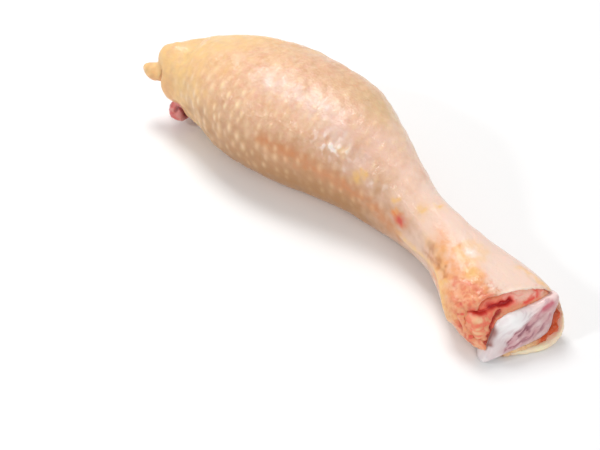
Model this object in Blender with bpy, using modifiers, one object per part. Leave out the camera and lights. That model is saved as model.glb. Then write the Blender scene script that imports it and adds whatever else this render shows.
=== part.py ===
"""Raw chicken leg quarter, thigh and drumstick in one, lying on its inner side with the skin up.

Metres, +Z up. The hip cut is at -X, the hock cut at +X, and the meat rests on Z = 0. The origin is
under the middle of the whole. Sizes below are in millimetres, because the meat is small.
"""

import math
import random
from typing import NamedTuple

import bmesh
import bpy
from mathutils import Matrix, Vector
from mathutils.kdtree import KDTree

MM = 0.001

# Driving dimensions
THIGH_WIDTH = 66.0
THIGH_HEIGHT = 50.5
SHANK_WIDTH = 24.5
SHANK_HEIGHT = 30.0
HOCK_WIDTH = 44.0
HOCK_HEIGHT = 26.0
SKIN_THICKNESS = 2.2
SEAT_GAP = 0.3

# How closely the lofts follow the sections
SKIN_SEGMENTS = 16
SKIN_RING_SPACING = 14.0
MEAT_SEGMENTS = 12
MEAT_RING_SPACING = 21.0

# Follicles: the pimples left where the feathers grew, in staggered rows
FOLLICLE_SPACING = 6.4
FOLLICLE_HEIGHT = 0.7
FOLLICLE_JITTER = 0.7
FOLLICLES_FROM = -100.0
FOLLICLES_TO = 46.0
FOLLICLES_ABOVE = 7.0

# The meat fills the skin, swells out of it at the hip and ends inside it at the hock
MEAT_BULGE = 4.0
MEAT_SET_BACK = 0.8
HOLLOW_OVERRUN = 12.0

# The joint cartilage at the hock, round a point on the cut
CARTILAGE_CENTRE = (107.0, -12.8, 10.3)
CARTILAGE_LENGTH = 30.0
CARTILAGE_HEIGHT = 16.5
CARTILAGE_DEPTH = 13.0
CARTILAGE_PROUD = 3.5
CARTILAGE_SLANT = 0.7
CARTILAGE_ROLL = 9.0
GROOVE_DEPTH = 2.6
CLEAR_OF_TABLE = 1.2

SKIN_COLOUR = (0.84, 0.62, 0.44)
MEAT_COLOUR = (0.62, 0.16, 0.15)
CARTILAGE_COLOUR = (0.80, 0.79, 0.83)


class Section(NamedTuple):
    """A cross-section of the leg, in millimetres and degrees. It leans along X as it rises."""

    along: float
    across: float
    half_width: float
    top: float
    bottom: float
    turn: float
    lean: float = 0.0
    corner: float = 2.3


class Lump(NamedTuple):
    """An ellipsoid that is joined on or cut out, in millimetres, turned about Z in degrees."""

    centre: tuple
    radii: tuple
    turn: float = 0.0


HIP_FAT_LOBE = Lump((-108.5, -8.5, 31.5), (11.0, 9.0, 9.0), 20)
SKIN_TAG = Lump((-116.5, -16.0, 25.0), (8.5, 4.8, 4.6), 15)
MUSCLE_END = Lump((-102.5, -13.5, 8.0), (5.5, 6.5, 5.0))
HIP_NOTCH = Lump((-103.5, -15.0, 8.0), (8.0, 9.0, 7.5))
TORN_EDGE = Lump((97.5, -33.5, 16.0), (9.5, 6.5, 8.5), -21)
FEMUR_HEAD = Lump((-112.0, -5.0, 16.5), (5.8, 5.8, 5.8))

THIGH = THIGH_WIDTH / 2
SHANK = SHANK_WIDTH / 2
HOCK = HOCK_WIDTH / 2

# From the hip cut to the hock cut. A bottom under the table is where the soft meat flattens.
SECTIONS = (
    Section(-109, -8.5, 0.41 * THIGH, 0.73 * THIGH_HEIGHT, 7, 21, -0.35),
    Section(-96, -1, 0.63 * THIGH, 0.86 * THIGH_HEIGHT, 4, 19, -0.2),
    Section(-69, 5.4, 0.97 * THIGH, 0.98 * THIGH_HEIGHT, -3, 10),
    Section(-40, 9.3, THIGH, THIGH_HEIGHT, -4, 5),
    Section(-12, 11, 0.84 * THIGH, 0.97 * THIGH_HEIGHT, -3.5, -1),
    Section(14, 7.2, 0.53 * THIGH, 0.85 * THIGH_HEIGHT, -2, -6),
    Section(38, 1, 0.94 * SHANK, 1.14 * SHANK_HEIGHT, 1, -10),
    Section(65, -4, SHANK, 0.97 * SHANK_HEIGHT, 3, -13),
    Section(86, -11.2, 0.96 * HOCK, 1.05 * HOCK_HEIGHT, 1, -18, -0.2),
    Section(97, -12.3, HOCK, 1.05 * HOCK_HEIGHT, 0, -22, -0.4, 2.6),
    Section(106, -12.7, 0.9 * HOCK, 0.99 * HOCK_HEIGHT, -1, -24, -0.5, 2.9),
)
HIP, HOCK_CUT = SECTIONS[0], SECTIONS[-1]


def material(name, colour, roughness):
    """A Principled material of one colour."""
    made = bpy.data.materials.new(name)
    made.use_nodes = True
    shader = made.node_tree.nodes["Principled BSDF"]
    shader.inputs["Base Color"].default_value = (*colour, 1.0)
    shader.inputs["Roughness"].default_value = roughness
    shader.inputs["Metallic"].default_value = 0.0
    return made


def section_at(along):
    """The leg's section at a distance along it, on a smooth curve through the named ones."""
    places = [section.along for section in SECTIONS]
    right = next((i for i, place in enumerate(places) if place > along), len(places) - 1)
    right = max(right, 1)
    left = right - 1
    span = places[right] - places[left]
    t = (along - places[left]) / span

    def slope(i, column):
        before, after = max(i - 1, 0), min(i + 1, len(places) - 1)
        rise = SECTIONS[after][column] - SECTIONS[before][column]
        return rise / (places[after] - places[before]) * span

    values = []
    for column in range(1, len(Section._fields)):
        start, end = SECTIONS[left][column], SECTIONS[right][column]
        values.append(
            (2 * t**3 - 3 * t**2 + 1) * start
            + (t**3 - 2 * t**2 + t) * slope(left, column)
            + (3 * t**2 - 2 * t**3) * end
            + (t**3 - t**2) * slope(right, column)
        )
    return Section(along, *values)


def ring_points(section, segments, inset=0.0, scale=1.0):
    """Points round a section, from its +Y side over the top, drawn in by an inset.

    Subdivision pulls a ring inwards, so the ring swells to end at the section's own size.
    """
    power = 2 / section.corner
    turn = math.radians(section.turn)
    swell = scale * 6 / (4 + 2 * math.cos(2 * math.pi / segments))
    middle = (section.top + section.bottom) / 2
    half_width = (section.half_width - inset) * swell
    half_height = ((section.top - section.bottom) / 2 - inset) * swell
    points = []
    for i in range(segments):
        angle = 2 * math.pi * i / segments
        c, s = math.cos(angle), math.sin(angle)
        wide = half_width * math.copysign(abs(c) ** power, c)
        high = half_height * math.copysign(abs(s) ** power, s)
        points.append(
            Vector(
                (
                    section.along - math.sin(turn) * wide + section.lean * high,
                    section.across + math.cos(turn) * wide,
                    middle + high,
                )
            )
        )
    return points


def loft(name, rings, levels, floor=-math.inf):
    """A soft closed form through rings of points in millimetres, capped at both ends and over a floor."""
    mesh = bpy.data.meshes.new(name)
    bm = bmesh.new()
    loops = []
    for ring in rings:
        raised = [Vector((point.x, point.y, max(point.z, floor))) for point in ring]
        loops.append([bm.verts.new(point * MM) for point in raised])
    for one, two in zip(loops, loops[1:]):
        for i in range(len(one)):
            j = (i + 1) % len(one)
            bm.faces.new((one[i], one[j], two[j], two[i]))
    bm.faces.new(reversed(loops[0]))
    bm.faces.new(loops[-1])
    bmesh.ops.recalc_face_normals(bm, faces=bm.faces)
    bm.to_mesh(mesh)
    bm.free()
    made = bpy.data.objects.new(name, mesh)
    soft = made.modifiers.new("soft_form", "SUBSURF")
    soft.levels = levels
    soft.render_levels = levels
    return made


def ellipsoid(name, lump, grow=0.0):
    """A UV sphere stretched to a lump's radii, which may be grown."""
    radii = Vector(lump.radii) + Vector((grow, grow, grow))
    place = (
        Matrix.Translation(Vector(lump.centre) * MM)
        @ Matrix.Rotation(math.radians(lump.turn), 4, "Z")
        @ Matrix.Diagonal((*(radii * MM), 1.0))
    )
    mesh = bpy.data.meshes.new(name)
    bm = bmesh.new()
    bmesh.ops.create_uvsphere(bm, u_segments=14, v_segments=10, radius=1, matrix=place)
    bm.to_mesh(mesh)
    bm.free()
    return bpy.data.objects.new(name, mesh)


def apply_modifiers(obj):
    """Puts the evaluated mesh in place of the object's own."""
    bpy.context.view_layer.update()
    evaluated = obj.evaluated_get(bpy.context.evaluated_depsgraph_get())
    mesh = bpy.data.meshes.new_from_object(evaluated)
    obj.modifiers.clear()
    obj.data = mesh


def boolean(obj, operation, other, helpers):
    """One exact Boolean with a helper, which shows as a wire and isn't rendered."""
    if other.name not in helpers.objects:
        helpers.objects.link(other)
        other.hide_render = True
        other.display_type = "WIRE"
    modifier = obj.modifiers.new(f"{operation.lower()}_{other.name}", "BOOLEAN")
    modifier.operation = operation
    modifier.solver = "EXACT"
    modifier.object = other


def evenly(first, last, spacing):
    """Places from first to last, about a spacing apart."""
    steps = round((last - first) / spacing)
    return [first + (last - first) * i / steps for i in range(steps + 1)]


def follicle_places(rng):
    """(distance along, distance round the skin) of each follicle, in staggered rows."""
    row_step = FOLLICLE_SPACING * math.sqrt(3) / 2
    rows = int((FOLLICLES_TO - FOLLICLES_FROM) / row_step)
    for row in range(rows + 1):
        along = FOLLICLES_FROM + row * row_step
        here = section_at(along)
        reach = math.pi * (here.half_width + here.top) / 2
        count = int(reach / FOLLICLE_SPACING)
        for i in range(-count, count + 1):
            around = (i + 0.5 * (row % 2)) * FOLLICLE_SPACING
            yield (
                along + rng.uniform(-FOLLICLE_JITTER, FOLLICLE_JITTER),
                around + rng.uniform(-FOLLICLE_JITTER, FOLLICLE_JITTER),
            )


def raise_follicles(mesh):
    """Lifts the vertex nearest to each follicle, where the skin is off the table."""
    unrolled = KDTree(len(mesh.vertices))
    for vertex in mesh.vertices:
        along, across, up = vertex.co / MM
        here = section_at(along)
        sideways, upwards = across - here.across, up - (here.top + max(here.bottom, 0)) / 2
        around = math.atan2(sideways, upwards) * math.hypot(sideways, upwards)
        unrolled.insert((along, around, 0), vertex.index)
    unrolled.balance()
    lifts = {}
    for along, around in follicle_places(random.Random(7)):
        _, index, distance = unrolled.find((along, around, 0))
        vertex = mesh.vertices[index]
        if distance < FOLLICLE_SPACING / 2 and vertex.co.z > FOLLICLES_ABOVE * MM:
            lifts[index] = vertex.normal * FOLLICLE_HEIGHT * MM
    for index, lift in lifts.items():
        mesh.vertices[index].co += lift


def settle_on_table(mesh):
    """Flattens what is under the table, and joins the flat faces."""
    bm = bmesh.new()
    bm.from_mesh(mesh)
    for vert in bm.verts:
        vert.co.z = max(vert.co.z, 0.0)
    resting = {face for face in bm.faces if max(vert.co.z for vert in face.verts) == 0.0}
    flat_edges = [edge for edge in bm.edges if resting.issuperset(edge.link_faces)]
    bmesh.ops.dissolve_edges(bm, edges=flat_edges, use_verts=True)
    bm.to_mesh(mesh)
    bm.free()


def meat_form(name, grow=0.0, overrun=0.0):
    """The meat under the skin, from its bulge at the hip cut to its torn end at the hock.

    The hollow that it leaves in the skin is grown by the gap, and runs over the end at the hock.
    """
    inset = SKIN_THICKNESS - grow
    bulge = HIP._replace(along=HIP.along - MEAT_BULGE - grow)
    end = HOCK_CUT._replace(along=HOCK_CUT.along - MEAT_SET_BACK + overrun)
    places = evenly(HIP.along + 4, HOCK_CUT.along - 3, MEAT_RING_SPACING)
    rings = [
        ring_points(bulge, MEAT_SEGMENTS, inset, scale=0.60),
        ring_points(bulge, MEAT_SEGMENTS, inset, scale=0.92),
        *(ring_points(section_at(along), MEAT_SEGMENTS, inset) for along in places),
        ring_points(end, MEAT_SEGMENTS, inset, scale=0.96),
        ring_points(end, MEAT_SEGMENTS, inset, scale=0.60),
    ]
    return loft(name, rings, levels=1, floor=SKIN_THICKNESS - grow)


def cartilage_frame():
    """Where the joint cartilage sits: X out of the cut, Y along the joint, Z across its groove."""
    turn = math.radians(HOCK_CUT.turn)
    tilt = math.atan(HOCK_CUT.lean * math.cos(turn))
    set_back = CARTILAGE_PROUD - CARTILAGE_DEPTH / 2
    return (
        Matrix.Translation(Vector(CARTILAGE_CENTRE))
        @ Matrix.Rotation(turn, 4, "Z")
        @ Matrix.Rotation(tilt, 4, "Y")
        @ Matrix.Rotation(math.radians(CARTILAGE_ROLL), 4, "X")
        @ Matrix.Translation(Vector((set_back, 0, 0)))
    )


def cartilage(name, grow=0.0):
    """The end of the shin bone: a slanted, rounded block across the hock, grooved along its face."""
    frame = cartilage_frame()
    shares = (-1.0, -0.94, -0.6, -0.2, 0.2, 0.6, 0.94, 1.0)
    fullness = (0.72, 0.96, 1.0, 1.0, 1.0, 1.0, 0.96, 0.72)
    segments = 14
    rings = []
    for share, full in zip(shares, fullness):
        depth = full * CARTILAGE_DEPTH / 2 + grow
        height = full * CARTILAGE_HEIGHT / 2 + grow
        ring = []
        for i in range(segments):
            angle = 2 * math.pi * i / segments
            out, up = math.cos(angle), math.sin(angle)
            x = math.copysign(abs(out) ** 0.7, out) * depth
            z = math.copysign(abs(up) ** 0.7, up) * height
            if out > 0:
                x -= GROOVE_DEPTH * full * math.exp(-((up / 0.4) ** 2))
            y = share * (CARTILAGE_LENGTH / 2 + grow) + CARTILAGE_SLANT * z
            ring.append(frame @ Vector((x, y, z)))
        rings.append(ring)
    return loft(name, rings, levels=1, floor=CLEAR_OF_TABLE - grow)


def make_skin(collection, helpers):
    """The skin, pulled over the meat and open at both cuts, with a lobe of fat and a tag at the hip."""
    hip_edge = HIP._replace(along=HIP.along - 1.5)
    hock_edge = HOCK_CUT._replace(along=HOCK_CUT.along + 1.0)
    rings = [
        ring_points(hip_edge, SKIN_SEGMENTS, scale=0.93),
        *(
            ring_points(section_at(along), SKIN_SEGMENTS)
            for along in evenly(HIP.along, HOCK_CUT.along, SKIN_RING_SPACING)
        ),
        ring_points(hock_edge, SKIN_SEGMENTS, scale=0.96),
    ]
    skin = loft("skin", rings, levels=2)
    collection.objects.link(skin)
    apply_modifiers(skin)
    raise_follicles(skin.data)
    settle_on_table(skin.data)
    skin.data.materials.append(material("chicken_skin", SKIN_COLOUR, 0.38))
    boolean(skin, "DIFFERENCE", ellipsoid("hip_notch", HIP_NOTCH), helpers)
    boolean(skin, "DIFFERENCE", ellipsoid("torn_edge", TORN_EDGE), helpers)
    boolean(skin, "UNION", ellipsoid("hip_fat_lobe", HIP_FAT_LOBE), helpers)
    boolean(skin, "UNION", ellipsoid("skin_tag", SKIN_TAG), helpers)
    hollow = meat_form("meat_hollow", grow=SEAT_GAP, overrun=HOLLOW_OVERRUN)
    boolean(skin, "DIFFERENCE", hollow, helpers)
    boolean(skin, "DIFFERENCE", cartilage("cartilage_seat", grow=SEAT_GAP), helpers)


def make_meat(collection, helpers):
    """The red meat that fills the skin, and the pearly ball of the thigh bone in its hip cut."""
    meat = meat_form("meat")
    collection.objects.link(meat)
    meat.data.materials.append(material("raw_meat", MEAT_COLOUR, 0.35))
    boolean(meat, "UNION", ellipsoid("muscle_end", MUSCLE_END), helpers)
    boolean(meat, "DIFFERENCE", ellipsoid("ball_socket", FEMUR_HEAD, grow=SEAT_GAP), helpers)
    boolean(meat, "DIFFERENCE", helpers.objects["cartilage_seat"], helpers)
    ball = ellipsoid("femur_head", FEMUR_HEAD)
    ball.data.materials.append(material("ball_cartilage", CARTILAGE_COLOUR, 0.25))
    collection.objects.link(ball)


def make_cartilage(collection):
    """The white joint end that fills most of the hock cut."""
    block = cartilage("hock_cartilage")
    block.data.materials.append(material("joint_cartilage", CARTILAGE_COLOUR, 0.22))
    collection.objects.link(block)


def stand_at_origin(collection):
    """Moves everything so that the origin is under the middle of the parts."""
    bpy.context.view_layer.update()
    depsgraph = bpy.context.evaluated_depsgraph_get()
    corners = [
        Vector(corner) for obj in collection.objects for corner in obj.evaluated_get(depsgraph).bound_box
    ]
    for axis in (0, 1):
        values = [corner[axis] for corner in corners]
        middle = (min(values) + max(values)) / 2
        for obj in bpy.data.objects:
            obj.location[axis] -= middle


def main():
    for obj in list(bpy.data.objects):
        bpy.data.objects.remove(obj)
    collection = bpy.data.collections.new("chicken_leg_quarter")
    helpers = bpy.data.collections.new("cutters_and_joined_lumps")
    for made in (collection, helpers):
        bpy.context.scene.collection.children.link(made)
    make_skin(collection, helpers)
    make_meat(collection, helpers)
    make_cartilage(collection)
    for obj in collection.objects:
        obj.data.shade_smooth()
    stand_at_origin(collection)


main()
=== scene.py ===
import math
import random

import bmesh
import bpy
import numpy as np
from mathutils import Matrix, Vector, noise
from mathutils.bvhtree import BVHTree
from mathutils.kdtree import KDTree


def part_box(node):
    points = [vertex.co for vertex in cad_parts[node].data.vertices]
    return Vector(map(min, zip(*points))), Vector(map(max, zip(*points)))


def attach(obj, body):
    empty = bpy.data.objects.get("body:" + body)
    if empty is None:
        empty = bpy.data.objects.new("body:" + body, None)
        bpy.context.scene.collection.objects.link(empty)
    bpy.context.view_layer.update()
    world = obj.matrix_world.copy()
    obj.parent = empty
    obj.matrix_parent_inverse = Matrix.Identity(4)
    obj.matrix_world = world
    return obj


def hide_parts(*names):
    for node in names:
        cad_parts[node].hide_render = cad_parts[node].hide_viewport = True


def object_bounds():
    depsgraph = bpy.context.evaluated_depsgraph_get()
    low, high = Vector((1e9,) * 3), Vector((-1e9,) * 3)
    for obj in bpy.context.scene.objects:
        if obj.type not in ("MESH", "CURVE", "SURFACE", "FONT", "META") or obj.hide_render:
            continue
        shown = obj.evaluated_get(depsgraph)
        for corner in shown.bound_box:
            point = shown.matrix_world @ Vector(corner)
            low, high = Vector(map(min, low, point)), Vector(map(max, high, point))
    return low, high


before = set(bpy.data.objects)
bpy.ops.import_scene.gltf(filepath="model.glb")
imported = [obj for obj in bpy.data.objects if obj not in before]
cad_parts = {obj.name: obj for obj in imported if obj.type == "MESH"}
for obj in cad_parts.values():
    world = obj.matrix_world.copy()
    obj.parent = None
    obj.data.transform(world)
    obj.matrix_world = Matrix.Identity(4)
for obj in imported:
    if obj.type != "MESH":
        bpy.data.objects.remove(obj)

cad_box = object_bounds()


# The table, the light and the camera. The leg lies on a matt white table under one soft light from the
# back left, with a small one at the front left and a weak one at the right. A 70 mm lens looks down on
# it from beside the hock.
def srgb(code):
    """A linear colour with alpha from an sRGB hex code."""
    channels = [int(code[i : i + 2], 16) / 255 for i in (0, 2, 4)]
    linear = [c / 12.92 if c <= 0.04045 else ((c + 0.055) / 1.055) ** 2.4 for c in channels]
    return (*linear, 1.0)


def new_piece(name, mesh):
    """A new object in the scene for a mesh."""
    piece = bpy.data.objects.new(name, mesh)
    bpy.context.scene.collection.objects.link(piece)
    return piece


table_mesh = bpy.data.meshes.new("table_top")
bm = bmesh.new()
bmesh.ops.create_grid(bm, x_segments=1, y_segments=1, size=3.0)  # metres to each side
bm.to_mesh(table_mesh)
bm.free()
table = new_piece("table_top", table_mesh)
table_paint = bpy.data.materials.new("matt_white_laminate")
table_paint.use_nodes = True
table_shader = table_paint.node_tree.nodes["Principled BSDF"]
table_shader.inputs["Base Color"].default_value = srgb("F4F4F4")
table_shader.inputs["Roughness"].default_value = 0.6
table_mesh.materials.append(table_paint)

softboxes = (
    # name, place in metres, width in metres, watts
    ("back_left_softbox", (-0.45, 0.22, 0.85), 0.36, 5.4),
    ("front_left_softbox", (-0.38, -0.72, 0.56), 0.09, 1.9),
    ("right_softbox", (0.70, -0.30, 0.45), 0.45, 1.7),
)
for name, place, width, watts in softboxes:
    lamp = bpy.data.lights.new(name, "AREA")
    lamp.size = width
    lamp.energy = watts
    lamp_object = bpy.data.objects.new(name, lamp)
    bpy.context.scene.collection.objects.link(lamp_object)
    lamp_object.location = place
    lamp_object.rotation_euler = (-Vector(place)).to_track_quat("-Z", "Y").to_euler()

room = bpy.data.worlds.new("white_room")
room.use_nodes = True
room_light = room.node_tree.nodes["Background"]
room_light.inputs["Color"].default_value = (1.0, 1.0, 1.0, 1.0)
room_light.inputs["Strength"].default_value = 0.5
bpy.context.scene.world = room
bpy.context.scene.view_settings.view_transform = "Standard"

eye = Vector((0.27806, -0.3039, 0.34787))
aim = Vector((0.01306, -0.04615, 0.0198))
lens = bpy.data.cameras.new("lens_70mm")
lens.lens = 70
lens.sensor_width = 36
camera = bpy.data.objects.new("camera", lens)
camera.location = eye
camera.rotation_euler = (aim - eye).to_track_quat("-Z", "Y").to_euler()
bpy.context.scene.collection.objects.link(camera)
bpy.context.scene.camera = camera


# The meat. Raw dark poultry muscle that fills the skin: it shows as red bundles with white seams in
# the hip cut, and as torn fatty tissue and a bloody gap round the joint in the hock cut. It is a fine
# remesh of the frame's own meat, sculpted at both cuts and coarser where the skin hides it.
flesh_voxel = 0.5  # all sizes and places from here on are in millimetres
flesh_share = 0.32  # of its faces, after the hidden ones are coarsened

# The two cuts: a point on each and the way it faces, and the way across the hip's
hip_centre = np.array((-105.2, -14.0, 21.9))
hip_across = np.array((-0.358, 0.934, 0.0))
hip_out = np.array((-0.888, -0.340, -0.311))
hock_centre = np.array((109.8, -18.7, 12.1))
hock_out = np.array((0.832, -0.370, 0.415))

# In the hip cut: muscle bundles, by how far across and up from its centre, and the torn end's split
bundle_places = ((-7, 9), (1, 11), (8, 6), (-9, 0), (-1, 3), (-7, -8), (2, -14), (11, -2))
bundle_radius = 6
bundle_height = 0.8
small_bundle_size = (9, 2.6, 2.6)
small_bundle_height = 0.35
seam_width = 1.0
seam_depth = 1.0
hip_split = (
    (-97.4, -23.8, 10.4), (-97, -22.4, 12.3), (-95.6, -21.4, 11.8), (-93.4, -20.6, 9.6), (-93, -20.4, 7),
)
hip_split_width = 1.0
hip_split_depth = 1.2

# In the hock cut, by Y and Z: the bloody slit under the skin, and the crevice beside the joint
slit = ((0, -33.5, 20), (0, -30, 20), (0, -27.5, 21), (0, -24.4, 21), (0, -21.6, 21), (0, -19.4, 21.4))
slit_width = 0.9
slit_depth = 1.9
crevice = (
    (0, -24, 18.6), (0, -26, 17.6), (0, -27.8, 16.5), (0, -29.1, 13.8), (0, -30.5, 10.8), (0, -32.6, 7.6),
)
crevice_width = 0.6
crevice_depth = 1.5

# Torn lobules, the membrane's strands, and how far the meat stands out of the hock cut and its notch
lobule_size = (4.5, 2.8, 2.8)
lobule_height = 0.3
strand_height = 0.3
hock_height = 0.7
notch_height = 0.7
notch_reach = 0.6
red_spots = (
    # place, radius
    ((96.9, -33.4, 20.3), 2.5),
    ((96.7, -35.0, 18.7), 2.0),
    ((98.4, -36.0, 17.6), 1.5),
    ((97.4, -36.4, 15.4), 1.7),
    ((94.4, -35.5, 11.9), 2.1),
    ((91.7, -34.6, 20.7), 1.3),
)


def copy_of(node, name):
    """A copy of a CAD node as a new piece, with its loose triangles merged."""
    bm = bmesh.new()
    bm.from_mesh(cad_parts[node].data)
    bmesh.ops.remove_doubles(bm, verts=bm.verts, dist=0.00001)
    mesh = bpy.data.meshes.new(name)
    bm.to_mesh(mesh)
    bm.free()
    return new_piece(name, mesh)


def settle(piece):
    """Puts the evaluated mesh in place of the piece's own and its modifiers."""
    bpy.context.view_layer.update()
    evaluated = piece.evaluated_get(bpy.context.evaluated_depsgraph_get())
    mesh = bpy.data.meshes.new_from_object(evaluated)
    piece.modifiers.clear()
    piece.vertex_groups.clear()
    piece.data = mesh


def remesh(piece, voxel):
    """Makes the piece one even surface of quads, a voxel in millimetres across."""
    clay = piece.modifiers.new("even_quads", "REMESH")
    clay.mode = "VOXEL"
    clay.voxel_size = voxel / 1000
    settle(piece)


def weigh(piece, name, weights):
    """The name of a new vertex group with a weight for each point."""
    group = piece.vertex_groups.new(name=name)
    for index, weight in enumerate(weights):
        group.add((index,), float(weight), "REPLACE")
    return group.name


def soften(piece, times, weights):
    """Smooths the piece where the weights are high."""
    smoother = piece.modifiers.new("softened", "SMOOTH")
    smoother.iterations = times
    smoother.factor = 0.5
    smoother.vertex_group = weigh(piece, "soft", weights)
    settle(piece)


def coarsen(piece, share, weights):
    """Leaves a share of the piece's faces, and takes the others where the weights are high."""
    decimator = piece.modifiers.new("coarser_where_hidden", "DECIMATE")
    decimator.ratio = share
    decimator.vertex_group = weigh(piece, "hidden", weights)
    settle(piece)


def rows(piece, what="co"):
    """The piece's points in millimetres, or its normals, one in a row."""
    flat = np.empty(len(piece.data.vertices) * 3)
    piece.data.vertices.foreach_get(what, flat)
    return flat.reshape(-1, 3) * (1000 if what == "co" else 1)


def reshape(piece, points):
    """Moves the piece's points to places in millimetres."""
    piece.data.vertices.foreach_set("co", (points / 1000).ravel())
    piece.data.update()


def ease(values, start, end):
    """0 at start, 1 at end, and smooth between them."""
    t = np.clip((values - start) / (end - start), 0, 1)
    return t * t * (3 - 2 * t)


def uneven(points, size, seed=0, octaves=1):
    """Smooth noise from about -1 to 1, with lumps of a size in millimetres, or of three sizes."""
    scaled = points / np.array(size) + seed * 17.3
    if octaves == 1:
        return np.array([noise.noise(point) for point in scaled]) * 1.6
    return np.array([noise.fractal(point, 0.6, 2.0, octaves) for point in scaled])


def frayed(points, reach, size, seed):
    """The points pushed about by noise, so that what is drawn by them gets a ragged edge."""
    return points + reach * np.column_stack([uneven(points, size, seed + i) for i in range(3)])


def lobules(points, size, seed=0):
    """Cells of a size in millimetres: how near each point is to a seam, and how far up a pillow."""
    scaled = points / np.array(size) + seed * 9.1
    nearest = np.array([noise.voronoi(point)[0][:2] for point in scaled])
    from_seam = nearest[:, 1] - nearest[:, 0]
    return 1 - ease(from_seam, 0, 0.2), ease(from_seam, 0, 0.7)


def blot(points, centre, radii):
    """1 at the centre of an ellipsoid, falling softly to nothing outside it."""
    away = ((points - np.array(centre)) / np.array(radii)) ** 2
    return np.exp(-1.2 * away.sum(1))


def blots(points, spots):
    """The highest of several round blots, each a centre and a radius."""
    return np.maximum.reduce([blot(points, centre, (radius,) * 3) for centre, radius in spots])


def stroke(points, width, *stops):
    """1 on a line through a few stops, falling softly to nothing past its width in millimetres."""
    nearest = np.full(len(points), np.inf)
    for start, end in zip(stops, stops[1:]):
        start, span = np.array(start), np.array(end) - np.array(start)
        share = np.clip((points - start) @ span / (span @ span), 0, 1)
        nearest = np.minimum(nearest, np.linalg.norm(points - start - share[:, None] * span, axis=1))
    return np.exp(-((nearest / width) ** 2))


def fatty_lobules(points):
    """Lobules of torn fatty tissue: where a seam is bloody, and how far up a pillow each point is."""
    seam, pillow = lobules(frayed(points, 1.0, 3, 8), lobule_size, 3)
    return seam * ease(uneven(points, 4, 13), -0.2, 0.4), pillow


def blotchy(points, start=0.0):
    """Blotches of 2.4 mm, the same noise on the meat, the fat and the skin, so that they run on."""
    return ease(uneven(points, 2.4, 46, 2), start, 0.4)


def mask(piece, name, values):
    """Stores a value from 0 to 1 at each point, for the material to read."""
    attribute = piece.data.attributes.new(name, "FLOAT", "POINT")
    attribute.data.foreach_set("value", np.clip(values, 0, 1).astype(np.float32))


def add_node(tree, kind, sockets=(), **settings):
    """Adds a node with its settings, and its inputs as values or as other nodes' outputs."""
    made = tree.nodes.new(kind)
    for name, value in settings.items():
        setattr(made, name, value)
    for socket, value in dict(sockets).items():
        if isinstance(value, bpy.types.NodeSocket):
            tree.links.new(value, made.inputs[socket])
        else:
            made.inputs[socket].default_value = value
    return made


def wet_tissue(name, ground, clouds, coats, grain, depth, finish):
    """A wet animal tissue: a ground colour, clouds of others over it, a colour for each mask, and a grain.

    A cloud is a colour, a size in millimetres and how strong it gets. The grain's size and depth are in
    millimetres too, and the finish is the shader's constants.
    """
    material = bpy.data.materials.new(name)
    material.use_nodes = True
    tree = material.node_tree
    shader = tree.nodes["Principled BSDF"]
    place = add_node(tree, "ShaderNodeTexCoord").outputs["Object"]
    # Inputs go by number where others have the same name: 1 and 2 are the noise that a cloud starts and
    # is full at, and 6 and 7 are the two colours that are mixed
    layers = []
    for code, size, most in clouds:
        cloudy = add_node(
            tree, "ShaderNodeTexNoise", {"Vector": place, "Scale": 1000 / size, "Detail": 4.0}
        )
        spread = add_node(
            tree, "ShaderNodeMapRange", {0: cloudy.outputs["Fac"], 1: 0.42, 2: 0.66, 4: most}
        )
        layers.append((code, spread.outputs[0]))
    for attribute, code in coats:
        amount = add_node(tree, "ShaderNodeAttribute", attribute_name=attribute)
        layers.append((code, amount.outputs["Fac"]))
    colour = srgb(ground)
    for code, amount in layers:
        mixed = add_node(
            tree, "ShaderNodeMix", {0: amount, 6: colour, 7: srgb(code)}, data_type="RGBA"
        )
        colour = mixed.outputs[2]
    tree.links.new(colour, shader.inputs["Base Color"])
    grainy = add_node(tree, "ShaderNodeTexNoise", {"Vector": place, "Scale": 1000 / grain, "Detail": 3.0})
    bump = add_node(
        tree, "ShaderNodeBump",
        {"Strength": 1.0, "Distance": depth / 1000, "Height": grainy.outputs["Fac"]},
    )
    tree.links.new(bump.outputs["Normal"], shader.inputs["Normal"])
    tree.links.new(bump.outputs["Normal"], shader.inputs["Coat Normal"])
    for socket, value in finish.items():
        shader.inputs[socket].default_value = value
    return material


def finish_piece(piece, material, node):
    """Gives the piece its material and smooth shading, hangs it on the root body, and hides the CAD node
    it stands for.
    """
    piece.data.materials.clear()
    piece.data.materials.append(material)
    for face in piece.data.polygons:
        face.use_smooth = True
    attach(piece, "root")
    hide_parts(node)


flesh = copy_of("meat", "leg_meat")
remesh(flesh, flesh_voxel)
along = rows(flesh)[:, 0]
hip_end, hock_end = along.min(), along.max()
hidden = ease(along, hip_end + 20, hip_end + 28) * (1 - ease(along, hock_end - 28, hock_end - 20))
coarsen(flesh, flesh_share, hidden)
soften(flesh, 4, np.ones(len(flesh.data.vertices)))
at, out = rows(flesh), rows(flesh, "normal")

# At the hip, bundles that swell between white seams, each made of smaller ones
hip_face = ease((at - hip_centre) @ hip_out, -10, -4)
warped = frayed(at, 1.6, 6, 1)
seen_across, seen_up = (warped - hip_centre) @ hip_across, warped[:, 2] - hip_centre[2]
away = np.array([np.hypot(seen_across - a, (seen_up - b) * 0.9) for a, b in bundle_places])
away.sort(axis=0)
seam = np.exp(-(((away[1] - away[0]) / seam_width) ** 2))
bundle = 1 - np.clip(away[0] / bundle_radius, 0, 1) ** 2
small_seam, small_bundle = lobules(warped, small_bundle_size, 2)
hip_fold = stroke(at, hip_split_width, *hip_split)
swell = bundle_height * bundle + small_bundle_height * small_bundle + 0.18 * uneven(at, 1.2, 4, 2)
relief = hip_face * (swell - seam_depth * seam) - hip_split_depth * hip_fold

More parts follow.
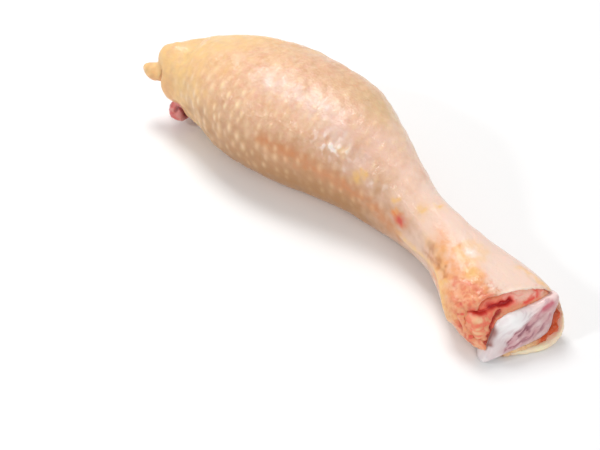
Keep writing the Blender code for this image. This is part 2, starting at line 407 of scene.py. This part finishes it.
# At the hock, torn lobules of fatty tissue on the left, a slit under the skin, and a smooth membrane
hock_face = ease((at - hock_centre) @ hock_out, -10, -5)
face = frayed(at, 0.5, 2.0, 5) * (0, 1, 1)
torn = ease(-at[:, 1], 21, 27)
bloody_seam, fat_pillow = fatty_lobules(at)
in_slit = stroke(face, slit_width, *slit)
in_crevice = stroke(face, crevice_width, *crevice)
notch = ease(blot(at, (101, -37, 16), (9, 6, 9)), 0.15, 0.7)
strands = uneven(frayed(at, 0.8, 3, 26), (6, 6, 1.1), 29, 2)
swell = hock_height + notch_height * notch + strand_height * (1 - torn) * strands
swell += torn * (lobule_height * fat_pillow + 0.3 * uneven(at, 2.5, 9, 3))
relief += hock_face * (swell - slit_depth * in_slit - crevice_depth * in_crevice)
reshape(flesh, at + out * relief[:, None] + notch_reach * notch[:, None] * hock_out)

# How strong each of the meat's colours is
# Painted light and shade at the hip's torn end: the lobe on its left is paler where lit, and the fold and
# the right side are dark where shaded
painted_lit_lobe = blot(at, (-95.8, -23, 8.6), (2, 2, 2.6))
cream_ridge = blot(face, (0, -33.2, 17.6), (9, 2.4, 1.6))
mask(flesh, "pale_bundle_and_lit_lobe", 0.7 * hip_face * ease(uneven(warped, 5, 6) + painted_lit_lobe, 0, 0.8))
mask(flesh, "fibre", hip_face * small_seam * ease(uneven(at, 3, 7), -0.3, 0.3))
mask(flesh, "seam", hip_face * seam * (0.75 + 0.5 * uneven(at, 5, 10)))
mask(flesh, "dark", np.maximum(1.1 * blot(at, (-93, -20.2, 8.8), (2.6, 2.8, 3.6)), 0.65 * hip_fold))
mask(flesh, "peach", ease(at[:, 0], 80, 90))
mask(flesh, "cream", hock_face * torn * np.maximum(
    0.8 * fat_pillow * ease(uneven(at, 3.5, 11), -0.1, 0.6),
    cream_ridge,
))
mask(flesh, "pink", hock_face * ease(face[:, 1], -24, -20) * ease(face[:, 2], 18.5, 21.5))
mask(flesh, "red", hock_face * np.maximum.reduce([
    1.1 * blots(frayed(at, 0.8, 1.8, 12), red_spots),
    stroke(face, 1.7, *slit),
    1.1 * stroke(face, 1.2, (0, -33.5, 19.6), (0, -30, 19.2)),
    blot(face, (0, -21, 20.3), (9, 4.2, 1.5)) * (1.0 + 0.5 * strands),
    stroke(face, 0.8, (0, -14.5, 19), (0, -10.5, 20.5)),
    0.9 * stroke(face, 1.0, (0, -8.8, 20.5), (0, -7.6, 24)),
    0.5 * ease(strands, 0.0, 0.4) * (1 - torn),
    torn * np.maximum(0.75 * bloody_seam, 0.6 * blotchy(at, 0.05)),
]))
# Clotted blood in the slit, and painted shade along the crevice beside the joint
mask(flesh, "clot_and_crevice_shade", hock_face * np.maximum.reduce([
    1.2 * stroke(face, 0.9, *slit[2:]),
    0.6 * stroke(face, 1.0, (0, -32.8, 19.4), (0, -30, 19.3)),
    stroke(face, 0.8, *crevice),
]))
# Raw poultry muscle and the fatty tissue round the joint: a wet sheen over soft, fibrous red and peach
flesh_paint = wet_tissue(
    "raw_dark_poultry_meat",
    ground="D86E6A",
    clouds=(("E28E88", 4.0, 0.8), ("B84A4C", 1.8, 0.5)),
    coats=(
        ("pale_bundle_and_lit_lobe", "E29A94"),
        ("fibre", "DE9890"),
        ("seam", "EFD6CC"),
        # painted shade
        ("dark", "6A101C"),
        ("peach", "E99C72"),
        ("cream", "F6CFA2"),
        ("pink", "F7C2AE"),
        ("red", "EE5040"),
        # clotted blood, and painted shade in the crevice
        ("clot_and_crevice_shade", "B81A1A"),
    ),
    grain=0.8,
    depth=0.2,
    finish={
        "Roughness": 0.38,
        "IOR": 1.4,
        "Subsurface Weight": 0.2,
        "Subsurface Radius": (1.0, 0.3, 0.2),
        "Subsurface Scale": 0.002,
        "Coat Weight": 0.45,
        "Coat Roughness": 0.18,
        "Coat IOR": 1.33,
    },
)
finish_piece(flesh, flesh_paint, "meat")


# The fat at the hock. Orange fat, stained by the joint, wedged between it and the skin at the lower
# right, a paler string of it below the joint, and torn peach fat deep between the meat and the skin on
# the left. Lumps along three lines, merged.
fat_voxel = 0.4
fat_unevenness = 0.35
lump_spacing = 0.7  # of a lump's radius
floor_gap = 0.3  # how far above the table the fat stays
fat_strands = (
    # radius, then places: how far proud of the cut, Y and Z
    (1.6, (-0.8, -27, 1.9), (-0.8, -20, 2.2), (-0.8, -12, 2.9)),
    (2.2, (-1.1, -12, 3.4), (-1.1, -7.2, 5.4), (-1.1, -4.4, 9), (-1.1, -3.2, 13)),
    (1.9, (-6, -34, 18.5), (-6.6, -34.8, 16), (-6.6, -35, 13.5), (-6.2, -35, 10.5), (-4.6, -34.6, 8)),
)


def on_cut(point):
    """A place given as how far it is proud of the hock cut, and its Y and Z."""
    proud, y, z = point
    lean = hock_out[1] * (y - hock_centre[1]) + hock_out[2] * (z - hock_centre[2])
    return np.array((hock_centre[0] + (proud - lean) / hock_out[0], y, z))


rng = random.Random(3)
bm = bmesh.new()
for radius, *stops in fat_strands:
    for start, end in zip(np.array(stops), np.array(stops[1:])):
        lumps = math.ceil(np.linalg.norm(end - start) / (lump_spacing * radius))
        for lump in range(lumps):
            place = on_cut(start + (end - start) * lump / lumps)
            place += [radius * rng.uniform(-0.22, 0.22) for _ in range(3)]
            bmesh.ops.create_icosphere(
                bm, subdivisions=2, radius=radius * rng.uniform(0.7, 1.15) / 1000,
                matrix=Matrix.Translation(Vector(place) / 1000),
            )
fat_mesh = bpy.data.meshes.new("hock_fat")
bm.to_mesh(fat_mesh)
bm.free()
fat = new_piece("hock_fat", fat_mesh)
remesh(fat, fat_voxel)
soften(fat, 8, np.ones(len(fat.data.vertices)))
at, out = rows(fat), rows(fat, "normal")
at = at + out * (fat_unevenness * uneven(at, 1.6, 14, 2))[:, None]
at[:, 2] = np.maximum(at[:, 2], floor_gap)
reshape(fat, at)
face = frayed(at, 0.4, 1.5, 16) * (0, 1, 1)
on_left = ease(-at[:, 1], 28, 32)
mask(fat, "orange", ease(at[:, 1], -17, -12) * (1.1 + 0.4 * uneven(at, 3, 15)))
mask(fat, "peach", on_left)
mask(fat, "blood", on_left * 0.8 * blotchy(at))
mask(fat, "red", 0.8 * stroke(face, 1.3, (0, -10, 8), (0, -7, 10.5), (0, -4.6, 14)))
# Raw fat stained by the joint's fluid: smooth, wet and translucent
fat_paint = wet_tissue(
    "raw_joint_fat",
    ground="E6B584",
    clouds=(("F3CFA4", 2.5, 0.8),),
    coats=(("orange", "CA4A00"), ("red", "A8421E"), ("peach", "ECA076"), ("blood", "DC4A3A")),
    grain=0.8,
    depth=0.08,
    finish={
        "Roughness": 0.35,
        "IOR": 1.44,
        "Subsurface Weight": 0.3,
        "Subsurface Radius": (1.0, 0.5, 0.25),
        "Subsurface Scale": 0.002,
        "Coat Weight": 0.35,
        "Coat Roughness": 0.1,
        "Coat IOR": 1.33,
    },
)
finish_piece(fat, fat_paint, "meat")


# The ball of the thigh bone. Pearly cartilage in the hip cut, with a rough pink pit at its lower side
# where its ligament was torn off. A sphere as large as the frame's ball, dented a little.
pit_depth = 0.9
pit_roughness = 0.7
ball_low, ball_high = (1000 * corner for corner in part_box("femur_head"))
ball_middle = (ball_low + ball_high) / 2
ball_radius = (ball_high.x - ball_low.x) / 2
bm = bmesh.new()
bmesh.ops.create_icosphere(bm, subdivisions=5, radius=ball_radius / 1000)
bmesh.ops.translate(bm, verts=bm.verts, vec=ball_middle / 1000)
ball_mesh = bpy.data.meshes.new("thigh_ball")
bm.to_mesh(ball_mesh)
bm.free()
ball = new_piece("thigh_ball", ball_mesh)
at, out = rows(ball), rows(ball, "normal")
pit_place = np.array(ball_middle) + np.array((-0.55, -0.45, -0.70)) * ball_radius
pit = blot(frayed(at, 0.8, 1.8, 17), pit_place, (1.6, 3.2, 1.6))
relief = -0.1 - pit * (pit_depth + pit_roughness * uneven(at, 1.0, 27)) + 0.1 * uneven(at, 3.5, 28)
reshape(ball, at + out * relief[:, None])
mask(ball, "bruise", ease(uneven(at, 4, 18, 2), -0.1, 0.8) * 0.6)
mask(ball, "ligament", pit * 1.3)
# Articular cartilage: smooth, pearly and slick
cartilage_finish = {
    "Roughness": 0.3,
    "IOR": 1.42,
    "Subsurface Weight": 0.3,
    "Subsurface Radius": (1.0, 0.8, 0.9),
    "Subsurface Scale": 0.002,
    "Coat Weight": 0.7,
    "Coat Roughness": 0.08,
    "Coat IOR": 1.33,
}
ball_paint = wet_tissue(
    "wet_ball_cartilage",
    ground="E4E0E6",
    clouds=(("F2F0F4", 5.0, 0.8),),
    coats=(("bruise", "DDB6BC"), ("ligament", "C9807A")),
    grain=0.8,
    depth=0.03,
    finish=cartilage_finish,
)
finish_piece(ball, ball_paint, "femur_head")


# The joint at the hock. Bluish-white cartilage with a smooth lobe on the left and a bruised, streaky
# groove along its face, cut rough below the groove. A fine remesh of the frame's own block.
joint_voxel = 0.4
joint_floor_gap = 0.4  # how far above the table the joint stays
lobe_height = 1.0
ridge_height = 1.3

# On its face, by Y and Z: the two grooves, and the ways along and over the upper one
groove = ((0, -25.5, 6.8), (0, -22.6, 9), (0, -18.5, 9.8), (0, -14, 12.9), (0, -9, 16), (0, -5.5, 17))
groove_width = 1.5
groove_depth = 1.0
low_groove = ((0, -28, 4.6), (0, -22.6, 5.6), (0, -16, 8), (0, -10.4, 10.4), (0, -7, 13))
low_groove_width = 1.1
low_groove_depth = 0.6
streak_size = (4.5, 0.75)
streak_depth = 0.28
along_groove = np.array((0, 0.88, 0.475))
over_groove = np.array((0, -0.475, 0.88))
joint = copy_of("hock_cartilage", "hock_joint")
remesh(joint, joint_voxel)
soften(joint, 14, np.ones(len(joint.data.vertices)))
at, out = rows(joint), rows(joint, "normal")
face = frayed(at, 0.35, 3, 20) * (0, 1, 1)
u, v = (face - groove[0]) @ along_groove, (face - groove[0]) @ over_groove
in_groove = stroke(face, groove_width, *groove)
in_low_groove = stroke(face, low_groove_width, *low_groove)
streaks = uneven(np.column_stack([u / streak_size[0], v / streak_size[1], 0 * u]), 1, 21, 2)
lobe = blot(face, (0, -22.8, 14.6), (9, 6.5, 4.2))
below = ease(-v, -1.5, 1.5) * ease(u, -9, -1)
front = ease(out @ hock_out, 0.35, 0.75)
relief = 0.1 + lobe_height * lobe + 0.15 * uneven(at, 5, 22)
relief += front * (-groove_depth * in_groove - low_groove_depth * in_low_groove)
carved = 0.12 * uneven(at, 2.2, 23, 2) - streak_depth * ease(streaks, 0, 0.5)
relief += front * ease(u, -2, 5) * (1 - lobe) * carved
tip = blot(at, (104, -35, 2), (6, 4, 4))
ridge = blot(at, (114, -8, 18.5), (3.5, 5, 3))
at = at + out * relief[:, None] + tip[:, None] * (0, -1.3, -0.9) + ridge[:, None] * (0, 0, ridge_height)
at[:, 2] = np.maximum(at[:, 2], joint_floor_gap)
reshape(joint, at)

# How strong each of the joint's colours is
flushed = ease(face[:, 1], -19, -9) * ease(face[:, 2], 9, 15)
# Painted shade: the joint's low tail, near the table, greyer pink
low_tail_shade = 0.6 * blot(at, (110, -29, 5), (7, 7, 4))
# The lobe is pearly white, and painted paler still for its highlight
mask(joint, "pearly_lobe_and_highlight", lobe)
mask(joint, "flushed", flushed * 0.9)
mask(joint, "streaked", front * (1 - lobe) * ease(streaks, -0.15, 0.5) * (0.15 + 0.45 * ease(u, -3, 4)))
mask(joint, "rough_cut_and_low_shade", front * np.maximum(below, low_tail_shade) * (0.8 + 0.3 * uneven(at, 3, 24)))
mask(joint, "bruise", front * (in_groove + 0.8 * in_low_groove) * (0.85 + 0.5 * streaks))
mask(joint, "dark", front * ease(streaks, -0.05, 0.35) * (in_groove + 0.6 * in_low_groove) * (1 - flushed))
mask(joint, "red", front * 0.8 * stroke(face, 0.9, (0, -9, 15.8), (0, -5.5, 17.3)))
# Painted shade: a dark brown line along the joint's edge at the crevice
mask(joint, "stain_and_crevice_shade", 0.9 * stroke(face, 0.7, *crevice[2:]))
# Cut articular cartilage: slick and pearly on the lobe, painted paler there for its highlight, streaked
# mauve in the groove, with painted shade at the crevice and the low tail
joint_paint = wet_tissue(
    "wet_joint_cartilage",
    ground="E6DCDC",
    clouds=(("F6F1EF", 5.0, 0.8), ("D2C8CE", 2.5, 0.4)),
    coats=(
        ("pearly_lobe_and_highlight", "FAF7F6"),
        ("flushed", "FADCD8"),
        ("streaked", "CDAFB6"),
        # rough cut, and painted shade on the low tail
        ("rough_cut_and_low_shade", "D2ACAA"),
        ("bruise", "D4969E"),
        ("dark", "9A5C6A"),
        ("red", "CB4A62"),
        # painted shade
        ("stain_and_crevice_shade", "8A3A2C"),
    ),
    grain=0.9,
    depth=0.05,
    finish=cartilage_finish,
)
finish_piece(joint, joint_paint, "hock_cartilage")


# The skin. It is a wet, fatty sleeve about 2 mm thick, pulled over the meat and open at both cuts.
# It is a fine remesh of the frame's own sleeve, softened, with the follicles, creases and tendons
# pushed out of it, and it is painted with masks: fat, flush, stains and cut edge, and painted shade, sheen
# and glints.
skin_voxel = 0.65
skin_share = 0.5
skin_softening = 50
skin_slices = 60  # across the leg, to find its middle all along it

# The follicles: rows from one place along the leg to another, and columns on each side of its top
follicle_rows = (-98, 52)
follicle_columns = 13
follicle_jitter = 1.4
follicle_miss = 1.5  # one that lies further off the skin than this is left out
follicle_spacing = 6.2
follicle_height = 0.42
follicle_width = 1.15
follicle_length = 2.0

# Tendons and folds, and how far each stands up or sinks in
tendon = (
    (38, -16, 16), (43.5, -16.4, 15.1), (51.4, -17.4, 14), (61, -20.3, 16), (66, -23.5, 18),
    (71.6, -26.7, 19.5), (79.3, -32.5, 18.8), (84, -34.5, 15), (88, -36, 11),
)
tendon_height = 1.0
tendon_side = ((58, -18.5, 18.2), (65.5, -21.8, 19.6), (72, -25, 21.7), (79, -28.3, 22.9))
tendon_side_depth = 0.4
calf_crest = ((14, -11, 38.5), (26, -11, 35.5), (37, -11, 33.1), (46, -12, 31.2), (56, -14, 28.7))
calf_crest_depth = 0.5
knee_fold = ((-15, -18.5, 38.5), (-8, -17, 39), (-1, -15.5, 38.4), (7, -14.2, 37))
knee_fold_height = 0.6
knee = ((2, -15.5, 38.5), (12, 5, 5))  # place, radii
knee_bump_size = (2.2, 3, 3)
knee_bump_height = 0.35
flap = ((99, -31, 23.3), (101.2, -24.7, 24.8), (103.6, -18, 25.4), (107.7, -11, 24.5), (109, -7, 24))
flap_height = 0.5
edge_line = ((97, -4.5, 26), (104, -4, 24.8), (111, -4, 23))
edge_height = 0.4
hip_crease = ((-100, -2, 41), (-97.5, -10, 42), (-95, -18, 39.5))
hip_crease_depth = 1.6

# The rims: how much thinner the hock's gets, and how parts of both are moved
rim_taper = 0.3
rim_shifts = (
    # place, radii, how far it moves: the lip and the rim at the hip, the flap and the low rim at the hock
    ((-103.5, -23.5, 22), (7, 7, 7), (-1.8, -1.6, 0)),
    ((-93, -26, 14.5), (6, 4, 4.5), (1.2, 0.8, 4.0)),
    ((99.5, -28.5, 22.5), (5, 5, 4), (-2.4, 0.6, 0.6)),
    ((117, -13, 1), (5, 9, 3), (0.9, -0.9, 0)),
)
nub_base = ((-107.9, -23, 25.2), (3, 3.2, 3.8))  # place, radii
nub_back = np.array((0.87, 0.49, 0))  # the way its back faces
nub_filling = 2.6

# Lines and spots of colour; the sheen line and the white flecks are painted highlights
flank_band = ((-30, -27, 31), (-8, -21, 28), (12, -17, 23), (26, -16, 20), (42, -16, 14))
painted_sheen_line = ((-44, -11, 48), (-25, -9, 48.5), (-8, -8, 47), (2, -12, 42))
yellow_line = ((60, -19, 24), (68, -21, 24.5), (76, -29, 22), (83, -34.5, 17), (90, -37, 13))
red_line = ((84, -29, 24), (91, -27, 25.5), (97, -27.5, 24.5), (101, -25, 24))
yellow_flecks = (
    # place, radius
    ((6, -14, 37.6), 2.2),
    ((16, -15, 30), 2.6),
    ((19, -14, 32.5), 2.0),
    ((37, -13.5, 29), 2.0),
    ((39, -15.5, 24.5), 1.8),
    ((50.5, -12, 31), 2.6),
    ((55, -6, 31.5), 2.2),
    ((86.6, -23, 27), 3.2),
    ((79, -30, 21.5), 2.2),
)
# Painted glints: white spots where highlights fall on the knee, the calf and the shank
painted_glint_spots = (
    ((1.6, -14.5, 39.5), 1.8),
    ((6.5, -14, 37.6), 1.6),
    ((9.7, -15.8, 31.8), 1.6),
    ((15.7, -14, 34.3), 1.6),
    ((23.3, -14.3, 29), 1.3),
    ((30.5, -13, 31.3), 1.5),
    ((80.3, -14.5, 28), 2.4),
)
brown_blotches = (((64, -20.5, 23), 3.0), ((70, -23, 23), 2.4))
brown_specks = (((75.2, -25.4, 24.5), 0.9), ((100.3, -24.3, 25.3), 0.8))


def distance_to(node, points):
    """Distance in millimetres from each point to a CAD node's surface."""
    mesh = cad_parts[node].data
    corners = [vertex.co for vertex in mesh.vertices]
    tree = BVHTree.FromPolygons(corners, [tuple(face.vertices) for face in mesh.polygons])
    return np.array([tree.find_nearest(Vector(point / 1000))[3] for point in points]) * 1000


def torn_near(from_hock, y):
    """How torn the skin is, which it is at the left of the hock."""
    return ease(from_hock, -16, -5) * ease(-y, 24, 30)


def follicles(points, directions, unrolled, solid):
    """How far each point stands up into a follicle, which are oval and lie in staggered rows."""
    rng = random.Random(7)
    by_place, by_unrolled = KDTree(len(points)), KDTree(len(points))
    for index in np.flatnonzero(solid > 0.5):
        by_place.insert(points[index], index)
        by_unrolled.insert(unrolled[index], index)
    by_place.balance()
    by_unrolled.balance()
    height = np.zeros(len(points))
    row_step = follicle_spacing * math.sqrt(3) / 2
    for row, along in enumerate(np.arange(*follicle_rows, row_step)):
        for column in range(-follicle_columns, follicle_columns + 1):
            place = (
                along + rng.uniform(-follicle_jitter, follicle_jitter),
                (column + 0.5 * (row % 2)) * follicle_spacing
                + rng.uniform(-follicle_jitter, follicle_jitter),
                0,
            )
            size = rng.uniform(0.75, 1.25)
            strength = rng.uniform(0.3, 1.0)
            _, index, away = by_unrolled.find(place)
            if away > follicle_miss:
                continue
            centre, up = points[index], directions[index]
            round_way = np.cross(up, (1.0, 0.25, 0.0))
            round_way /= max(np.linalg.norm(round_way), 1e-6)
            long_way = np.cross(round_way, up)
            near = [found[1] for found in by_place.find_range(centre, 2.2 * follicle_length * size)]
            offsets = points[near] - centre
            across = offsets @ long_way / (follicle_width * size)
            length = offsets @ round_way / (follicle_length * size)
            height[near] = np.maximum(height[near], strength * np.exp(-(across**2) - length**2))
    return height


skin = copy_of("skin", "skin_sleeve")
remesh(skin, skin_voxel)
at = rows(skin)
outer = ease(distance_to("meat", at), 0.6, 1.8)
clear_of_hip = ease(at[:, 0], hip_end + 3, hip_end + 20)
clear_of_cuts = clear_of_hip * (1 - ease(at[:, 0], hock_end - 22, hock_end - 8))
soften(skin, skin_softening, outer * (0.25 + 0.75 * clear_of_cuts))

# The skin unrolled: how far each point is along the leg, and round it from the top
at = rows(skin)
edges = np.linspace(at[:, 0].min(), at[:, 0].max(), skin_slices + 1)
which = np.clip(np.searchsorted(edges, at[:, 0]) - 1, 0, skin_slices - 1)
low = np.array([at[which == i].min(0) for i in range(skin_slices)])
high = np.array([at[which == i].max(0) for i in range(skin_slices)])
centres = (edges[1:] + edges[:-1]) / 2
sideways = at[:, 1] - np.interp(at[:, 0], centres, (low[:, 1] + high[:, 1]) / 2)
upwards = at[:, 2] - np.interp(at[:, 0], centres, (low[:, 2] + high[:, 2]) / 2)
round_leg = np.arctan2(sideways, upwards) * np.hypot(sideways, upwards)
unrolled = np.column_stack([at[:, 0], round_leg, np.zeros(len(at))])

# The relief of the outer wall: follicles, folds along the shank, tendons, the knee, creases and rims
out = rows(skin, "normal")
outer = ease(distance_to("meat", at), 0.9, 1.8)
from_hock = (at - hock_centre) @ hock_out
x, y, z = at.T
pimpled = ease(x, -108, -84) * (1 - ease(x, 20, 50)) * ease(z, 8, 20)
pimpled *= 0.4 + 0.15 * uneven(at, 22, 30) + 0.8 * blot(at, (-56, -24, 34), (34, 16, 16))
pimples = follicles(at, out, unrolled, outer) * pimpled * outer
shank = ease(x, 40, 62)
wrinkled = ease(x, 72, 86) * ease(-y, 16, 23) * ease(z, 8, 14)
folds = uneven(np.column_stack([x / 3, round_leg, 0 * x]), 3.2, 3)
crease = np.exp(-((uneven(frayed(at, 0.8, 3, 31), (3.6, 2.2, 2.2), 34) / 0.13) ** 2)) * wrinkled
torn = torn_near(from_hock, y)
_, fat_pillow = fatty_lobules(at)
relief = follicle_height * pimples * (1 - 0.75 * ease(y, -6, 12))
relief += 0.5 * uneven(at, 19, 35) + 0.12 * uneven(at, 8, 36)
relief += 0.12 * ease(-x, 84, 98) * uneven(at, 3, 50, 2) + 0.5 * ease(-x, 107, 111) * uneven(at, 5, 52)
relief += 0.15 * shank * folds - 0.16 * crease + 0.15 * wrinkled * uneven(at, 3, 37)
relief += 0.15 * ease(from_hock, -5, -1) * uneven(at, 2.4, 38, 2) + lobule_height * torn * fat_pillow
relief += tendon_height * stroke(at, 1.3, *tendon) * ease(x, 36, 50)
relief -= tendon_side_depth * stroke(at, 1.2, *tendon_side)
relief -= rim_taper * ease(from_hock, -3.5, -0.5) * (1 - ease(out @ hock_out, 0.3, 0.6))
relief += 0.25 * blot(at, (-4, -15, 40), (16, 6, 7)) * uneven(at, (2.2, 4, 4), 39)
relief += knee_fold_height * stroke(frayed(at, 1.0, 3, 48), 2.0, *knee_fold)
relief += knee_bump_height * blot(at, *knee) * uneven(at, knee_bump_size, 49)
relief += flap_height * stroke(at, 1.2, *flap) + edge_height * stroke(at, 1.2, *edge_line)
relief -= hip_crease_depth * stroke(at, 3.8, *hip_crease)
relief -= calf_crest_depth * stroke(at, 2.6, *calf_crest)
at = at + out * (relief * outer)[:, None]

# The rims are moved, and the gap behind the hip's nub is filled, all inside the frame's own box
for place, radii, shift in rim_shifts:
    at += blot(at, place, radii)[:, None] * shift
behind_nub = nub_filling * blot(at, *nub_base) * ease(out @ nub_back, 0.2, 0.7)
at += behind_nub[:, None] * nub_back
low_corner, high_corner = (1000 * np.array(corner) for corner in cad_box)
reshape(skin, np.clip(at, low_corner, high_corner))
mask(skin, "follicle", pimples)
mask(skin, "crease", crease * 0.5)

# The inner wall only shows at the cuts
coarsen(skin, skin_share, np.clip(1.05 - outer * (0.35 + 0.65 * ease(at[:, 2], 2, 8)), 0, 1))
at = rows(skin)

# How strong each of the skin's colours is, by places pushed about so that no patch has a clean edge
ragged = frayed(at, 1.3, 2.6, 40)
half_ragged = 0.5 * (at + ragged)
x, y, z = ragged.T
wobble = uneven(at, 9, 43, 3)
fine = uneven(at, 3.2, 44, 2)
from_hip, from_hock = (at - hip_centre) @ hip_out, (at - hock_centre) @ hock_out
shank = ease(x + 12 * wobble + 0.5 * y, 4, 62)
bloody_seam, _ = fatty_lobules(at)
torn = torn_near(from_hock, y)
smooth_top = shank * ease(y + 0.35 * (x - 80), -22, -12)
stained = ease(x, 56, 70) * ease(-y - 0.30 * (x - 80), 14, 20) * ease(z, 10, 16)
ring = np.exp(-(((np.linalg.norm(ragged - (79.5, -14.5, 28), axis=1) - 4.5) / 2.4) ** 2))
# Painted shade: the low sides of the thigh and calf, most on the near side, and a patch of the calf's far
# top are painted a darker brown where less light falls
near_side = ease(-y, -8, 14) * ease(z, -2, 10)
painted_far_top_shade = 0.22 * blot(ragged, (-8, 9.5, 48), (26, 9, 7))
painted_low_shade = (1 - ease(z + 3 * wobble, 12, 46)) * (1 - ease(x, 30, 80)) * (0.2 + 0.8 * near_side)
mask(skin, "painted_shade", np.maximum(painted_low_shade, painted_far_top_shade))
mask(skin, "fat", ease(-x + 14 * wobble + 0.3 * y, 42, 90) * (0.85 + 0.35 * fine))
mask(skin, "blush", blot(ragged, (12, -4, 38), (26, 16, 14)) * (0.7 + 0.5 * wobble))
mask(skin, "olive", blot(ragged, (8, 14, 42), (30, 11, 12)) * (0.7 + 0.5 * fine))
mask(skin, "flush", 0.85 * shank + 0.3 * smooth_top)
mask(skin, "stain_and_crevice_shade", stained * (0.75 + 0.5 * fine))
mask(skin, "peach", torn * 0.9)
mask(skin, "rusty", torn * 0.7 * blotchy(at))
mask(skin, "band", stroke(ragged, 4.0, *flank_band) * (0.8 + 0.4 * fine))
mask(skin, "tendon", stroke(half_ragged, 1.5, *tendon) * (0.85 + 0.4 * fine) * ease(x, 36, 50))
mask(skin, "yellow", np.maximum.reduce([
    0.85 * blots(ragged, yellow_flecks),
    0.6 * blot(ragged, (-118, -24, 26), (3, 5, 3.5)),
    0.4 * ring * ease(z, 20, 25),
    0.6 * stroke(ragged, 1.6, *edge_line),
    0.35 * stroke(ragged, 3.0, *yellow_line),
]))
# Painted glints: the white spots, and the tops of the knee's bumps made white where its highlight falls
painted_knee_glints = blot(at, *knee) * ease(uneven(at, knee_bump_size, 49), 0.1, 0.6)
mask(skin, "painted_glint", np.maximum(0.5 * blots(ragged, painted_glint_spots), 0.95 * painted_knee_glints))
# Painted sheen: a pale pink band along the thigh's top, standing for the broad wet highlight there
mask(skin, "painted_sheen", stroke(ragged, 6.5, *painted_sheen_line) * (0.4 + 0.3 * fine))
mask(skin, "blood_ring", blot(ragged, (41, -15.7, 22.8), (5.2, 4.2, 3.6)) * (0.6 + 0.9 * fine))
mask(skin, "brown", np.maximum.reduce([
    0.7 * stroke(half_ragged, 1.0, *tendon_side) * (0.6 + 0.6 * fine),
    0.6 * blots(ragged, brown_blotches),
    0.9 * blots(at, brown_specks),
]))
mask(skin, "red", np.maximum.reduce([
    1.2 * blot(half_ragged, (42, -15.7, 22.2), (3.2, 2.6, 2.5)),
    1.1 * blots(ragged, red_spots),
    0.6 * torn * bloody_seam,
    0.8 * blot(ragged, (108.5, -8.6, 24), (1.6, 1.6, 3)),
    0.5 * stroke(ragged, 1.8, *red_line),
]))
cut_wall = 1 - ease(distance_to("meat", at), 1.0, 2.2)
# The tan cut rim at the hip and the lobe's lower edge, and painted shade below the hip's nub
mask(skin, "hip_rim_and_nub_shade", np.maximum.reduce([
    0.8 * cut_wall * ease(from_hip, -12, -6),
    0.8 * blot(ragged, (-99, -25.5, 22), (6, 4, 9)),
    0.8 * blot(ragged, (-112, -26, 22.5), (7, 3, 3)),
]))
# The cream cut rim of the skin at the hock, painted paler than it is: a painted light where the joint
# shades it
lower_rim = ease(y, -30, -20) * (1 - ease(z, 12, 18)) * (1 - 0.35 * ease(y, -15, -7))
mask(skin, "hock_rim", ease(from_hock, -2.2, -0.4) * lower_rim * (0.85 + 0.5 * fine))
mask(skin, "flap", stroke(ragged, 1.1, *flap) * 0.9)
# Raw poultry skin: a thin wet film over soft peach and cream, with a fine pebbled grain
skin_paint = wet_tissue(
    "raw_poultry_skin",
    ground="DEAE88",
    clouds=(("D09872", 13.0, 0.7), ("E8C09C", 6.0, 0.8), ("E2A28C", 3.0, 0.5), ("F0D2AE", 1.7, 0.35)),
    coats=(
        # painted shade
        ("painted_shade", "B08052"),
        ("fat", "EEC385"),
        ("blush", "DDB4A2"),
        ("olive", "D9B888"),
        ("flush", "F2D1C0"),
        # painted highlight
        ("painted_sheen", "E6CEC8"),
        ("stain_and_crevice_shade", "E9A270"),
        ("peach", "EFA87C"),
        ("rusty", "E0724A"),
        ("band", "CE8A5A"),
        ("follicle", "F6D6AC"),
        ("tendon", "F0C890"),
        ("crease", "D87A50"),
        ("yellow", "F0BE70"),
        # painted glints
        ("painted_glint", "FDEEE4"),
        ("blood_ring", "E58A3E"),
        ("brown", "B56A3C"),
        ("red", "D5503F"),
        # tan rim, and painted shade below the nub
        ("hip_rim_and_nub_shade", "DDA472"),
        # cream rim, with painted light
        ("hock_rim", "FFECC8"),
        ("flap", "F8E0D0"),
    ),
    grain=1.1,
    depth=0.2,
    finish={
        "Roughness": 0.46,
        "IOR": 1.42,
        "Subsurface Weight": 0.25,
        "Subsurface Radius": (1.0, 0.45, 0.25),
        "Subsurface Scale": 0.003,
        "Coat Weight": 0.45,
        "Coat Roughness": 0.13,
        "Coat IOR": 1.33,
    },
)
finish_piece(skin, skin_paint, "skin")
